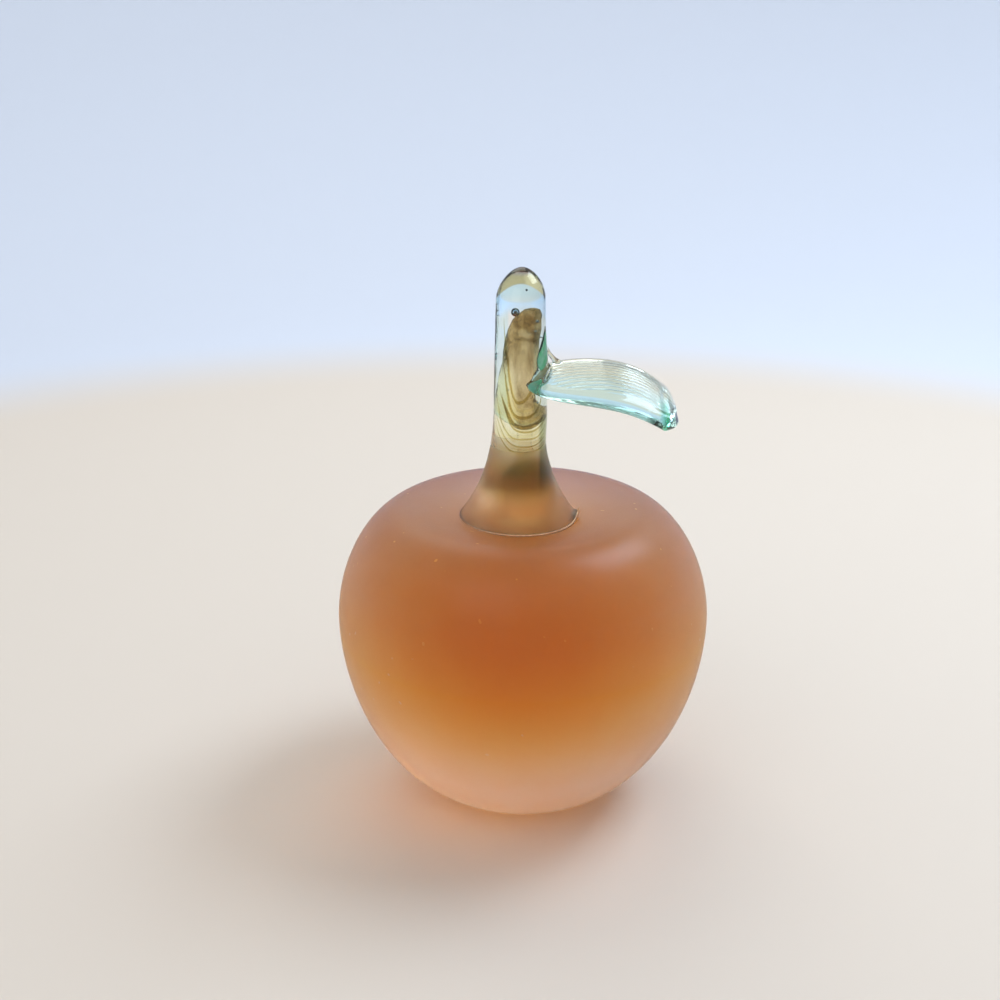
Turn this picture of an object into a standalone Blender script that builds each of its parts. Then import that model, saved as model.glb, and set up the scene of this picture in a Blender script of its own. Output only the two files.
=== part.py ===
"""Glass peach paperweight: a cased fruit of satin glass with a hot-applied stalk and leaf.

Metres, +Z up, with the origin at the centre of the ground foot.
The casing surrounds the amber core, and is open where the piece was cracked off the pipe.
The stalk's foot is seated in the dimple over that scar, and the leaf's root is pressed on the stalk.
The stalk was gathered over a thread of olive glass, which runs down inside it to the scar.
"""

import math

import bmesh
import bpy
from mathutils import Euler, Matrix, Vector

# Fruit: the outer shape of the casing
BODY_RADIUS = 0.0420
WIDEST_HEIGHT = 0.0436
CREST_RADIUS = 0.0258
CREST_HEIGHT = 0.0690
DIMPLE_DEPTH = 0.0050
GROUND_FOOT_RADIUS = 0.0126
LOWER_FULLNESS = 1.06
UPPER_FULLNESS = 1.08

# Casing walls around the core, and the scar where the piece left the pipe
SIDE_WALL = 0.0105
BASE_WALL = 0.0170
SHOULDER_WALL = 0.0080
SCAR_RADIUS = 0.0085
NECK_FILLET = 0.0030

# Stalk: a tapering rod with a flared foot and a domed tip
STALK_HEIGHT = 0.0551
STALK_RADIUS = 0.0059
STALK_TIP_RADIUS = 0.0054
TIP_DOME_HEIGHT = 0.0066
TIP_FULLNESS = 1.15
STALK_FOOT_RADIUS = 0.0136
FLARE_HEIGHT = 0.0280
FLARE_SHARPNESS = 2.7
STALK_LEFT_OF_CENTRE = 0.0007

# Thread: the olive glass inside the stalk, a long drop on a thin cord that widens in the foot.
# Heights are above the foot's rim, and the cover and the walls are straw glass around the drop
THREAD_TIP_COVER = 0.0088
THREAD_TIP_WALL = 0.0030
THREAD_TIP_DOME = 0.0020
THREAD_FULL_HEIGHT = 0.0262
THREAD_FULL_WALL = 0.0019
THREAD_DROP_BOTTOM = 0.0200
THREAD_CORD_RADIUS = 0.0012
THREAD_CORD_FOOT = 0.0140
THREAD_FOOT_HEIGHT = 0.0080
THREAD_FOOT_RADIUS = 0.0036

# Leaf: a ribbed blade that leans towards the front, with its root on the stalk
LEAF_BELOW_TIP = 0.0239
LEAF_INNER_END = 0.0015
LEAF_REACH = 0.0334
LEAF_WIDTH = 0.0182
LEAF_ROOT_WIDTH = 0.0044
LEAF_TIP_WIDTH = 0.0039
LEAF_WIDEST_SHARE = 0.73
LEAF_OUTER_FULLNESS = 3.0
LEAF_SWEEP = 0.0003
LEAF_THICKNESS = 0.0026
LEAF_RIM_THICKNESS = 0.0010
LEAF_LEAN = math.radians(20)
LEAF_DROOP = 0.0072
LEAF_DROOP_SHARPNESS = 3.9
LEAF_ARCH = 0.0018
LEAF_FORWARD = 0.0030
RIB_COUNT = 8
RIB_DEPTH = 0.0003
ROOT_PAD_HEIGHT = 0.0110
ROOT_PAD_WIDTH = 0.0084
ROOT_PAD_DEPTH = 0.0040
ROOT_PAD_RISE = 0.0010
ROOT_PAD_TURN = math.radians(-32)

# The fused seams between the pieces, kept open by this much
CLEARANCE = 0.0003

# Fineness of the meshes
MERGE_DISTANCE = 0.00001
TURN_STEPS = 40
STALK_STEPS = 28
ARC_STEPS = 9
SHORT_ARC_STEPS = 6
SHAFT_STEPS = 4
THREAD_STEPS = 20
FILLET_STEPS = 4
SCAR_STEPS = 3
LEAF_LENGTH_STEPS = 18
TIP_CROWDING = 1.6
POINTS_PER_RIB = 3
PAD_SEGMENTS = 20
PAD_RINGS = 12
SHARP_EDGE = math.radians(50)

# Glass colours
AMBER = (0.72, 0.24, 0.05)
PEACH = (0.86, 0.55, 0.38)
STRAW = (0.66, 0.62, 0.32)
OLIVE = (0.40, 0.32, 0.14)
LEAF_GREEN = (0.42, 0.78, 0.66)

# Heights that follow from the values above
DIMPLE_FLOOR = CREST_HEIGHT - DIMPLE_DEPTH
BELOW_DIMPLE = DIMPLE_FLOOR - DIMPLE_DEPTH


def clear_scene():
    """Remove whatever the file opened with."""
    for item in list(bpy.data.objects):
        bpy.data.objects.remove(item, do_unlink=True)


def new_collection(name):
    """Make a collection in the scene."""
    collection = bpy.data.collections.new(name)
    bpy.context.scene.collection.children.link(collection)
    return collection


def glass(name, colour, roughness):
    """Make a tinted glass material."""
    material = bpy.data.materials.new(name)
    material.use_nodes = True
    shader = material.node_tree.nodes["Principled BSDF"]
    shader.inputs["Base Color"].default_value = (*colour, 1.0)
    shader.inputs["Roughness"].default_value = roughness
    shader.inputs["Metallic"].default_value = 0.0
    shader.inputs["Transmission Weight"].default_value = 1.0
    material.diffuse_color = (*colour, 1.0)
    return material


def add_object(name, mesh, collection, material=None):
    """Put a mesh in the scene as a named object."""
    item = bpy.data.objects.new(name, mesh)
    collection.objects.link(item)
    if material:
        mesh.materials.append(material)
    return item


def turned(name, profile, steps, collection, material=None):
    """Turn a profile of (radius, height) points about the Z axis."""
    mesh = bpy.data.meshes.new(name)
    points = [(radius, 0, height) for radius, height in profile]
    edges = [(start, start + 1) for start in range(len(points) - 1)]
    mesh.from_pydata(points, edges, [])
    item = add_object(name, mesh, collection, material)
    screw = item.modifiers.new("turn", "SCREW")
    screw.axis = "Z"
    screw.steps = steps
    screw.render_steps = steps
    screw.use_merge_vertices = True
    screw.merge_threshold = MERGE_DISTANCE
    screw.use_smooth_shade = True
    return item


def as_guide(item):
    """Keep a cutter out of the finished part."""
    item.hide_render = True
    item.display_type = "WIRE"


def combine(item, other, operation):
    """Cut an object by a guide, or join a guide to it."""
    modifier = item.modifiers.new(operation.lower(), "BOOLEAN")
    modifier.operation = operation
    modifier.solver = "EXACT"
    modifier.object = other


def arc(start, end, steps, fullness=1.0):
    """Points of a quarter of an ellipse, upright at the start and level at the end."""
    points = []
    for step in range(steps + 1):
        angle = math.pi / 2 * step / steps
        radius = end[0] + (start[0] - end[0]) * math.cos(angle) ** fullness
        height = start[1] + (end[1] - start[1]) * math.sin(angle) ** fullness
        points.append((radius, height))
    return points


def dimple_height(radius):
    """Height of the dimple's surface, which falls from the crest to its floor like a cosine."""
    share = min(radius, CREST_RADIUS) / CREST_RADIUS
    return DIMPLE_FLOOR + DIMPLE_DEPTH * (1 - math.cos(math.pi * share)) / 2


def dimple_profile(inner_radius, outer_radius, steps):
    """Points on the dimple between two radii."""
    width = outer_radius - inner_radius
    radii = [inner_radius + width * step / steps for step in range(steps + 1)]
    return [(radius, dimple_height(radius)) for radius in radii]


def fruit_profile(inner_radius):
    """Outer outline of the fruit: from a radius inside the dimple over the crest and down to the foot."""
    dimple = dimple_profile(inner_radius, CREST_RADIUS, ARC_STEPS)
    shoulder = arc((BODY_RADIUS, WIDEST_HEIGHT), (CREST_RADIUS, CREST_HEIGHT), ARC_STEPS, UPPER_FULLNESS)
    belly = arc((BODY_RADIUS, WIDEST_HEIGHT), (GROUND_FOOT_RADIUS, 0.0), ARC_STEPS, LOWER_FULLNESS)
    return dimple[:-1] + shoulder[::-1] + belly[1:] + [(0.0, 0.0)]


def core_profile(growth):
    """Outline of the core from its neck down to its base, moved outwards by a growth."""
    neck = SCAR_RADIUS + growth
    fillet = NECK_FILLET - growth
    shoulder = DIMPLE_FLOOR - SHOULDER_WALL + growth
    widest = (BODY_RADIUS - SIDE_WALL + growth, WIDEST_HEIGHT)
    hollow = []
    for step in range(FILLET_STEPS):
        angle = math.pi / 2 * step / FILLET_STEPS
        hollow.append((neck + fillet * (1 - math.cos(angle)), shoulder + fillet * (1 - math.sin(angle))))
    upper = arc(widest, (neck + fillet, shoulder), ARC_STEPS)
    lower = arc(widest, (0.0, BASE_WALL - growth), ARC_STEPS)
    return [(neck, dimple_height(neck))] + hollow + upper[::-1] + lower[1:]


def stalk_radius(height):
    """Radius of the stalk at a height above its foot's rim, below the dome of its tip."""
    dome_start = STALK_HEIGHT - TIP_DOME_HEIGHT
    if height > FLARE_HEIGHT:
        taper = (height - FLARE_HEIGHT) / (dome_start - FLARE_HEIGHT)
        return STALK_RADIUS + (STALK_TIP_RADIUS - STALK_RADIUS) * taper
    flare = (1 - height / FLARE_HEIGHT) ** FLARE_SHARPNESS
    return STALK_RADIUS + (STALK_FOOT_RADIUS - STALK_RADIUS) * flare


def foot_rim_height():
    """Height at which the stalk's foot meets the dimple."""
    return dimple_height(STALK_FOOT_RADIUS) + CLEARANCE


def stalk_profile(growth):
    """Outline of the stalk from its tip down to its foot, moved outwards by a growth."""
    rim = foot_rim_height()
    dome_start = STALK_HEIGHT - TIP_DOME_HEIGHT
    dome_base = (STALK_TIP_RADIUS + growth, rim + dome_start)
    dome = arc(dome_base, (0.0, rim + STALK_HEIGHT + growth), SHORT_ARC_STEPS, TIP_FULLNESS)
    shaft_length = dome_start - FLARE_HEIGHT
    shaft = [dome_start - shaft_length * step / SHAFT_STEPS for step in range(1, SHAFT_STEPS + 1)]
    flare = [FLARE_HEIGHT * (1 - step / ARC_STEPS) for step in range(1, ARC_STEPS + 1)]
    sides = [(stalk_radius(height) + growth, rim + height) for height in shaft + flare]
    return dome[::-1] + sides + [(STALK_FOOT_RADIUS + growth, BELOW_DIMPLE), (0.0, BELOW_DIMPLE)]


def swell(start, end, steps):
    """Points of a soft swelling between two (radius, height) points."""
    points = []
    for step in range(steps + 1):
        share = step / steps
        radius = start[0] + (end[0] - start[0]) * (1 - math.cos(math.pi * share)) / 2
        points.append((radius, start[1] + (end[1] - start[1]) * share))
    return points


def thread_profile(growth):
    """Outline of the thread from its upper end down to below the dimple, moved outwards by a growth."""
    rim = foot_rim_height()
    top = STALK_HEIGHT - THREAD_TIP_COVER
    dome_start = top - THREAD_TIP_DOME
    tip = (stalk_radius(dome_start) - THREAD_TIP_WALL + growth, rim + dome_start)
    full = (stalk_radius(THREAD_FULL_HEIGHT) - THREAD_FULL_WALL + growth, rim + THREAD_FULL_HEIGHT)
    drop_bottom = (THREAD_CORD_RADIUS + growth, rim + THREAD_DROP_BOTTOM - growth)
    cord_foot = (THREAD_CORD_RADIUS + growth, rim + THREAD_CORD_FOOT)
    foot = (THREAD_FOOT_RADIUS + growth, rim + THREAD_FOOT_HEIGHT)
    dome = arc(tip, (0.0, rim + top + growth), SHORT_ARC_STEPS)[::-1]
    drop = swell(tip, full, SHORT_ARC_STEPS) + arc(full, drop_bottom, SHORT_ARC_STEPS)[1:]
    cord = swell(cord_foot, foot, SHORT_ARC_STEPS)
    return dome + drop[1:] + cord + [(foot[0], BELOW_DIMPLE), (0.0, BELOW_DIMPLE)]


def leaf_half_width(along):
    """Half of the blade's width at a share of its reach: narrow root, full middle, small round tip."""
    if along < LEAF_WIDEST_SHARE:
        end = LEAF_ROOT_WIDTH
        power = 2.0
        past = 1 - along / LEAF_WIDEST_SHARE
    else:
        end = LEAF_TIP_WIDTH
        power = LEAF_OUTER_FULLNESS
        past = (along - LEAF_WIDEST_SHARE) / (1 - LEAF_WIDEST_SHARE)
    return (end + (LEAF_WIDTH - end) * (1 - past ** power) ** (1 / power)) / 2


def leaf_point(along, across):
    """A point of the blade's middle surface.

    Along runs from 0 at the stalk to 1 at the tip, and across from -1 in front to 1 behind.
    The blade's middle line runs out level, then drops steeply and bends to the front near the tip.
    """
    half = leaf_half_width(along)
    bend = along ** LEAF_DROOP_SHARPNESS
    side = half * across - LEAF_SWEEP * bend
    share = half / (LEAF_WIDTH / 2)
    rib = RIB_DEPTH * math.cos(math.pi * RIB_COUNT * (across + 1)) * math.sin(math.pi * along) * share
    rise = LEAF_ARCH * (1 - across ** 2) * share + rib
    return Vector((
        LEAF_INNER_END + (LEAF_REACH - LEAF_INNER_END) * along,
        side * math.cos(LEAF_LEAN) - rise * math.sin(LEAF_LEAN) - LEAF_FORWARD,
        side * math.sin(LEAF_LEAN) + rise * math.cos(LEAF_LEAN) - LEAF_DROOP * bend,
    ))


def leaf_blade(collection, material, height):
    """Bend a grid into the blade and give it a thickness that thins towards its rim."""
    bm = bmesh.new()
    across_steps = RIB_COUNT * POINTS_PER_RIB
    bmesh.ops.create_grid(bm, x_segments=LEAF_LENGTH_STEPS, y_segments=across_steps, size=1.0)
    fullness = []
    for vertex in bm.verts:
        along = 1 - ((1 - vertex.co.x) / 2) ** TIP_CROWDING
        across = vertex.co.y
        fullness.append((1 - across ** 4) * (1 - along ** 6))
        vertex.co = leaf_point(along, across) + Vector((-STALK_LEFT_OF_CENTRE, 0, height))
    mesh = bpy.data.meshes.new("leaf")
    bm.to_mesh(mesh)
    bm.free()
    blade = add_object("leaf", mesh, collection, material)
    group = blade.vertex_groups.new(name="fullness")
    for index, weight in enumerate(fullness):
        group.add([index], weight, "REPLACE")
    solidify = blade.modifiers.new("thickness", "SOLIDIFY")
    solidify.thickness = LEAF_THICKNESS
    solidify.offset = 0.0
    solidify.vertex_group = group.name
    solidify.thickness_vertex_group = LEAF_RIM_THICKNESS / LEAF_THICKNESS
    return blade


def root_pad(collection, height):
    """The oval pad of glass by which the leaf was pressed on the stalk."""
    bm = bmesh.new()
    bmesh.ops.create_uvsphere(bm, u_segments=PAD_SEGMENTS, v_segments=PAD_RINGS, radius=0.5)
    size = Matrix.Diagonal((ROOT_PAD_DEPTH, ROOT_PAD_WIDTH, ROOT_PAD_HEIGHT, 1))
    bmesh.ops.transform(bm, matrix=size, verts=bm.verts)
    mesh = bpy.data.meshes.new("root_pad")
    bm.to_mesh(mesh)
    bm.free()
    pad = add_object("root_pad", mesh, collection)
    height += ROOT_PAD_RISE
    reach = stalk_radius(height - foot_rim_height())
    pad.rotation_euler = Euler((0, 0, ROOT_PAD_TURN))
    out = Vector((math.cos(ROOT_PAD_TURN), math.sin(ROOT_PAD_TURN), 0)) * reach
    pad.location = out + Vector((-STALK_LEFT_OF_CENTRE, 0, height))
    as_guide(pad)
    return pad


def smooth_round_faces(item):
    """Shade a piece smooth, with its true edges kept sharp."""
    item.data.shade_smooth()
    item.data.set_sharp_from_angle(angle=SHARP_EDGE)


def build():
    """Model the five pieces of glass."""
    clear_scene()
    pieces = new_collection("glass_peach_paperweight")
    guides = new_collection("guides")

    scar = dimple_profile(0.0, SCAR_RADIUS, SCAR_STEPS)
    core = scar[:-1] + core_profile(0.0)
    turned("amber_core", core, TURN_STEPS, pieces, glass("amber_glass", AMBER, 0.02))

    cavity = core_profile(CLEARANCE)
    casing = cavity[::-1] + fruit_profile(SCAR_RADIUS + CLEARANCE)[1:]
    turned("peach_casing", casing, TURN_STEPS, pieces, glass("peach_glass", PEACH, 0.55))

    straw_glass = glass("straw_glass", STRAW, 0.08)
    stalk = turned("stalk", stalk_profile(0.0), STALK_STEPS, pieces, straw_glass)
    stalk.location.x = -STALK_LEFT_OF_CENTRE
    raised_fruit = [(radius, height + CLEARANCE) for radius, height in fruit_profile(0.0)[:-1]]
    seat = turned("foot_seat", raised_fruit + [(0.0, CLEARANCE)], TURN_STEPS, guides)
    as_guide(seat)
    combine(stalk, seat, "DIFFERENCE")

    olive_glass = glass("olive_glass", OLIVE, 0.02)
    thread = turned("stalk_thread", thread_profile(0.0), THREAD_STEPS, pieces, olive_glass)
    thread.location.x = stalk.location.x
    combine(thread, seat, "DIFFERENCE")
    bore = turned("thread_bore", thread_profile(CLEARANCE), THREAD_STEPS, guides)
    bore.location.x = stalk.location.x
    as_guide(bore)
    combine(stalk, bore, "DIFFERENCE")

    leaf_height = foot_rim_height() + STALK_HEIGHT - LEAF_BELOW_TIP
    leaf = leaf_blade(pieces, glass("green_glass", LEAF_GREEN, 0.05), leaf_height)
    combine(leaf, root_pad(guides, leaf_height), "UNION")
    grip = turned("leaf_grip", stalk_profile(CLEARANCE), STALK_STEPS, guides)
    grip.location.x = stalk.location.x
    as_guide(grip)
    combine(leaf, grip, "DIFFERENCE")
    smooth_round_faces(leaf)


build()
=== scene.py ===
# %% [markdown]
# # A glass peach paperweight
# The real object is hot glass: an amber heart, a peach gather round it, a stalk pulled up from the
# dimple, and a green leaf pinched with ribbed jacks. The fruit and the stalk's foot are etched to a
# satin finish, and the rest is clear.
# This lesson builds each piece over the imported CAD frame, gives it its glass, and lights it in a
# plain studio. Each step first says what the piece is and why it is made this way.

# %% [markdown]
# ## Start from the frame
# The frame holds the CAD solids in metres. Nothing has to be fitted by eye: a new piece stands where
# its solid stands.

# %% Load the frame
import math
import bpy
import bmesh
from mathutils import Matrix, Quaternion, Vector, noise


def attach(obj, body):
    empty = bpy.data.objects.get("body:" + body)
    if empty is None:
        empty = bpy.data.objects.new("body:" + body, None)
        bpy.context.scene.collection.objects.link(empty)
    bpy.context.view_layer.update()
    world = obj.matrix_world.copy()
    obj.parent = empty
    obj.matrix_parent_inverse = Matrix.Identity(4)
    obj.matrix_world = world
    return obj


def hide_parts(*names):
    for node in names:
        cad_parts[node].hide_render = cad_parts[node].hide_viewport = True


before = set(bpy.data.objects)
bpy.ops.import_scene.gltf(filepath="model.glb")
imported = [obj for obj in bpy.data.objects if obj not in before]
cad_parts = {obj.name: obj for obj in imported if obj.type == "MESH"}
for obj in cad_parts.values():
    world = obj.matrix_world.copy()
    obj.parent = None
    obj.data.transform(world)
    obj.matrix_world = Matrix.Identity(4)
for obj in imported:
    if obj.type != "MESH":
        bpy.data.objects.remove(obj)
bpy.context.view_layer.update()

MM = 0.001
scene = bpy.context.scene

# %% [markdown]
# ## The camera
# A camera can be placed by eye, or worked out. Here the outline of the fruit gave it: it looks down
# by 20 degrees from about 29 cm in front, a little left of the middle. A 50 mm lens on a 36 mm
# sensor gives the picture the same perspective as the photograph.

# %% Set the camera
FRUIT_RADIUS = 42.0 * MM

camera = bpy.data.objects.new("camera", bpy.data.cameras.new("camera"))
scene.collection.objects.link(camera)
camera.location = (-0.123 * FRUIT_RADIUS, -6.946 * FRUIT_RADIUS, 4.196 * FRUIT_RADIUS)
camera.rotation_euler = (math.radians(70), 0, 0)
camera.data.lens = 50
camera.data.sensor_width = 36
camera.data.clip_start = 0.01
scene.camera = camera
print("camera at", [round(value, 4) for value in camera.location])

# %% [markdown]
# ## Helpers for turned glass
# Blown and tooled glass is mostly turned: the maker rolls the iron all the time. The matching
# operator is spin, which sweeps one outline round an axis. The outline could also be a curve with a
# Screw modifier, but a bmesh lets the next cells push single points about, as a tool does.

# %% Helpers that turn an outline and finish a mesh
def quarter_round(start, end, steps, fullness=1.0):
    """Points of a quarter ellipse that leaves start upright and reaches end level."""
    points = []
    for step in range(steps + 1):
        angle = math.pi / 2 * step / steps
        radius = end[0] + (start[0] - end[0]) * math.cos(angle) ** fullness
        height = start[1] + (end[1] - start[1]) * math.sin(angle) ** fullness
        points.append((radius, height))
    return points


def turn(outline, steps):
    """Spin an outline of (radius, height) points into a closed mesh."""
    bm = bmesh.new()
    verts = [bm.verts.new((radius, 0, height)) for radius, height in outline]
    edges = [bm.edges.new(pair) for pair in zip(verts, verts[1:])]
    bmesh.ops.spin(bm, geom=verts + edges, cent=(0, 0, 0), axis=(0, 0, 1),
                   angle=math.tau, steps=steps, use_merge=True)
    tidy_faces(bm)
    return bm


def tidy_faces(bm):
    """Merge doubled points and turn every face outwards."""
    bmesh.ops.remove_doubles(bm, verts=bm.verts, dist=0.002 * MM)
    bmesh.ops.recalc_face_normals(bm, faces=bm.faces)


def make_piece(bm, name):
    """Write a bmesh into a new smooth object at the origin."""
    mesh = bpy.data.meshes.new(name)
    bm.to_mesh(mesh)
    bm.free()
    mesh.shade_smooth()
    piece = bpy.data.objects.new(name, mesh)
    scene.collection.objects.link(piece)
    print(name, "has", len(mesh.polygons), "faces")
    return piece


# %% [markdown]
# ## The fruit
# The fruit is one thick gather: a round shoulder, a wide shallow dimple on top and a small flat foot
# where it was ground to stand. Its outline is two quarter ellipses with a cosine dimple, turned
# once. A sculpted sphere would do too, but the turned outline keeps the exact size of the solid.
# Hand work is never quite round, so the wall then gets a wave of a tenth of a millimetre.

# %% Turn the fruit
WIDEST_HEIGHT = 43.6 * MM
CREST_RADIUS = 25.8 * MM
CREST_HEIGHT = 69.0 * MM
DIMPLE_DEPTH = 5.0 * MM
GROUND_FOOT_RADIUS = 12.6 * MM
UPPER_FULLNESS = 1.08
LOWER_FULLNESS = 1.06


def dimple_height(radius):
    """Height of the dimpled top at this distance from the axis."""
    share = min(radius, CREST_RADIUS) / CREST_RADIUS
    return CREST_HEIGHT - DIMPLE_DEPTH * (1 + math.cos(math.pi * share)) / 2


def fruit_outline():
    """The fruit from the middle of the dimple to the middle of the ground foot."""
    widest = (FRUIT_RADIUS, WIDEST_HEIGHT)
    dimple = [(CREST_RADIUS * step / 30, dimple_height(CREST_RADIUS * step / 30)) for step in range(30)]
    shoulder = quarter_round(widest, (CREST_RADIUS, CREST_HEIGHT), 30, UPPER_FULLNESS)
    belly = quarter_round(widest, (GROUND_FOOT_RADIUS, 0), 40, LOWER_FULLNESS)
    foot = [(GROUND_FOOT_RADIUS * share, 0) for share in (0.9, 0.6, 0.3, 0)]
    return dimple + shoulder[::-1] + belly[1:] + foot


fruit_bm = turn(fruit_outline(), 160)
WOBBLE = 0.0016
for vert in fruit_bm.verts:
    angle = math.atan2(vert.co.y, vert.co.x)
    wave = math.cos(2 * angle + 0.7) + 0.5 * math.cos(3 * angle - 1.1 + 30 * vert.co.z)
    vert.co.xy *= 1 - WOBBLE * (1.5 - wave) / 3
fruit = make_piece(fruit_bm, "peach_fruit")

# %% [markdown]
# ## The amber heart
# The first gather on the iron was a deep amber. It can't be touched, but it is why the middle of the
# fruit glows orange while its foot and its edge stay pale. It is a squat drop with a short neck that
# ran up to the iron, turned like the fruit.

# %% Turn the heart
NECK_RADIUS = 8.5 * MM
NECK_FILLET = 3.0 * MM
HEART_TOP = CREST_HEIGHT - DIMPLE_DEPTH - 8.0 * MM
HEART_BASE = 17.0 * MM
HEART_RADIUS = FRUIT_RADIUS - 10.5 * MM


def heart_outline(inset):
    """The heart from the top of its neck down to its base, drawn in by an inset."""
    neck_radius = NECK_RADIUS - inset / 2
    neck_top = dimple_height(neck_radius) - 0.5 * MM - inset * 1.5
    neck = [(neck_radius * step / 6, neck_top) for step in range(7)]
    top = HEART_TOP - inset
    fillet = []
    for step in range(9):
        angle = math.pi / 2 * step / 8
        fillet.append((neck_radius + NECK_FILLET * (1 - math.cos(angle)),
                       top + NECK_FILLET * (1 - math.sin(angle))))
    widest = (HEART_RADIUS - inset, WIDEST_HEIGHT)
    shoulder = quarter_round(widest, (neck_radius + NECK_FILLET, top), 20)
    belly = quarter_round(widest, (0, HEART_BASE + inset), 24)
    return neck + fillet + shoulder[::-1][1:] + belly[1:]


def pour_in(bm, other_bm):
    """Add all of another bmesh to this one, and free the other."""
    mesh = bpy.data.meshes.new("poured")
    other_bm.to_mesh(mesh)
    other_bm.free()
    bm.from_mesh(mesh)
    bpy.data.meshes.remove(mesh)


LAYER_INSETS = (-2.5 * MM, 1.5 * MM, 6.0 * MM, 11.0 * MM)
heart_bm = bmesh.new()
for layer, inset in enumerate(LAYER_INSETS):
    layer_bm = turn(heart_outline(inset), 96)
    for face in layer_bm.faces:
        face.material_index = layer
    pour_in(heart_bm, layer_bm)
heart = make_piece(heart_bm, "amber_heart")

# %% [markdown]
# ## The stalk
# The stalk is a bit of straw glass, put on hot over the place where the fruit came off the iron, and
# pulled up. So it flares at the foot, thins upwards and ends in a dome. Its outline is worked out from
# a few measures, because the leaf has to find the stalk's skin at any height later on.

# %% Draw the stalk's outline
STALK_HEIGHT = 55.3 * MM
STALK_RADIUS = 5.9 * MM
STALK_TIP_RADIUS = 5.4 * MM
TIP_DOME_HEIGHT = 6.6 * MM
TIP_FULLNESS = 1.15
STALK_FOOT_RADIUS = 13.6 * MM
FLARE_HEIGHT = 28.0 * MM
FLARE_SHARPNESS = 2.7
STALK_LEFT = 0.7 * MM
FOOT_HEIGHT = dimple_height(STALK_FOOT_RADIUS) - 0.05 * MM
FUSED_DEPTH = 0.9 * MM
RIM_WIDTH = 0.25 * MM
STALK_TOP = FOOT_HEIGHT + STALK_HEIGHT


def stalk_radius(climb):
    """Radius of the stalk at this climb above the rim of its foot, below the dome."""
    if climb > FLARE_HEIGHT:
        taper = (climb - FLARE_HEIGHT) / (STALK_HEIGHT - TIP_DOME_HEIGHT - FLARE_HEIGHT)
        return STALK_RADIUS + (STALK_TIP_RADIUS - STALK_RADIUS) * taper
    flare = (1 - climb / FLARE_HEIGHT) ** FLARE_SHARPNESS
    return STALK_RADIUS + (STALK_FOOT_RADIUS - STALK_RADIUS) * flare


def stalk_outline():
    """The stalk from its top down to the middle of its underside."""
    dome_start = STALK_HEIGHT - TIP_DOME_HEIGHT
    dome = quarter_round((STALK_TIP_RADIUS, FOOT_HEIGHT + dome_start), (0, STALK_TOP), 20, TIP_FULLNESS)
    side = []
    for step in range(1, 71):
        climb = dome_start * (1 - step / 70)
        side.append((stalk_radius(climb), FOOT_HEIGHT + climb))
    under = []
    for step in range(11):
        radius = (STALK_FOOT_RADIUS - RIM_WIDTH) * (1 - step / 10)
        under.append((radius, dimple_height(radius) - FUSED_DEPTH))
    return dome[::-1] + side + under


print("the stalk is", round(stalk_radius(0) / MM, 1), "mm in radius at its foot")

# %% [markdown]
# ## Turn the stalk and pull it out of round
# A pulled stalk is never quite round. After turning, each ring is pushed a little, with flutes that
# twist as they climb, because that is what bends the light into streaks. The tip leans back, the
# right side is narrower, and a lip of spare glass stands at the right of the foot.

# %% Turn the stalk
FLUTE_DEPTH = 0.013
NARROWED_RIGHT = 1.0 * MM
TIP_TO_RIGHT = 0.25 * MM
TIP_TO_BACK = 2.0 * MM
LIP_OUT = 0.4 * MM
LIP_UP = 1.2 * MM
STALK_STEPS = 112


def ease(value, low, high):
    """A soft step from 0 at low to 1 at high."""
    share = min(max((value - low) / (high - low), 0), 1)
    return share * share * (3 - 2 * share)


def pull_out_of_round(bm):
    """Give a turned piece of the stalk its flutes, crooked tip, narrower right side and lip."""
    for vert in bm.verts:
        climb = vert.co.z - FOOT_HEIGHT
        angle = math.atan2(vert.co.y, vert.co.x)
        reach = vert.co.xy.length
        flutes = 0.6 * math.cos(3 * angle + 60 * climb) + 0.4 * math.cos(7 * angle - 95 * climb)
        drawn = ease(climb, 12 * MM, 26 * MM)
        vert.co.xy *= 1 + FLUTE_DEPTH * drawn * flutes - FLUTE_DEPTH * drawn
        right_side = max(math.cos(angle), 0) ** 2 * ease(reach, 3 * MM, 6 * MM)
        vert.co.x -= NARROWED_RIGHT * right_side * (1 - ease(climb, 14 * MM, 24 * MM))
        vert.co.x += TIP_TO_RIGHT * ease(climb, 48 * MM, STALK_HEIGHT)
        vert.co.y += TIP_TO_BACK * ease(climb, 43 * MM, STALK_HEIGHT)
        lip = math.exp(-((angle + 0.10) / 0.17) ** 2)
        lip *= ease(-climb, -2.4 * MM, 0) * ease(reach, 11.5 * MM, 13.4 * MM)
        vert.co.x += LIP_OUT * lip
        vert.co.z += LIP_UP * lip
    bmesh.ops.translate(bm, verts=bm.verts, vec=(-STALK_LEFT, 0, 0))


stalk_bm = turn(stalk_outline(), STALK_STEPS)
pull_out_of_round(stalk_bm)

# %% [markdown]
# ## A mould of the stalk for later
# The leaf is pressed on the stalk, so its root must end on the stalk's skin. A copy of the stalk,
# drawn in by a twentieth of a millimetre, is kept here. It will cut the leaf, and the thin overlap
# that stays makes the two glasses look fused: with a gap, light would mirror at the seam.

# %% Keep a slightly thinner copy of the stalk
SEAM_OVERLAP = 0.05 * MM

stalk_bm.normal_update()
stalk_mould = stalk_bm.copy()
stalk_mould.normal_update()
for vert in stalk_mould.verts:
    vert.co -= vert.normal * SEAM_OVERLAP
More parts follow.
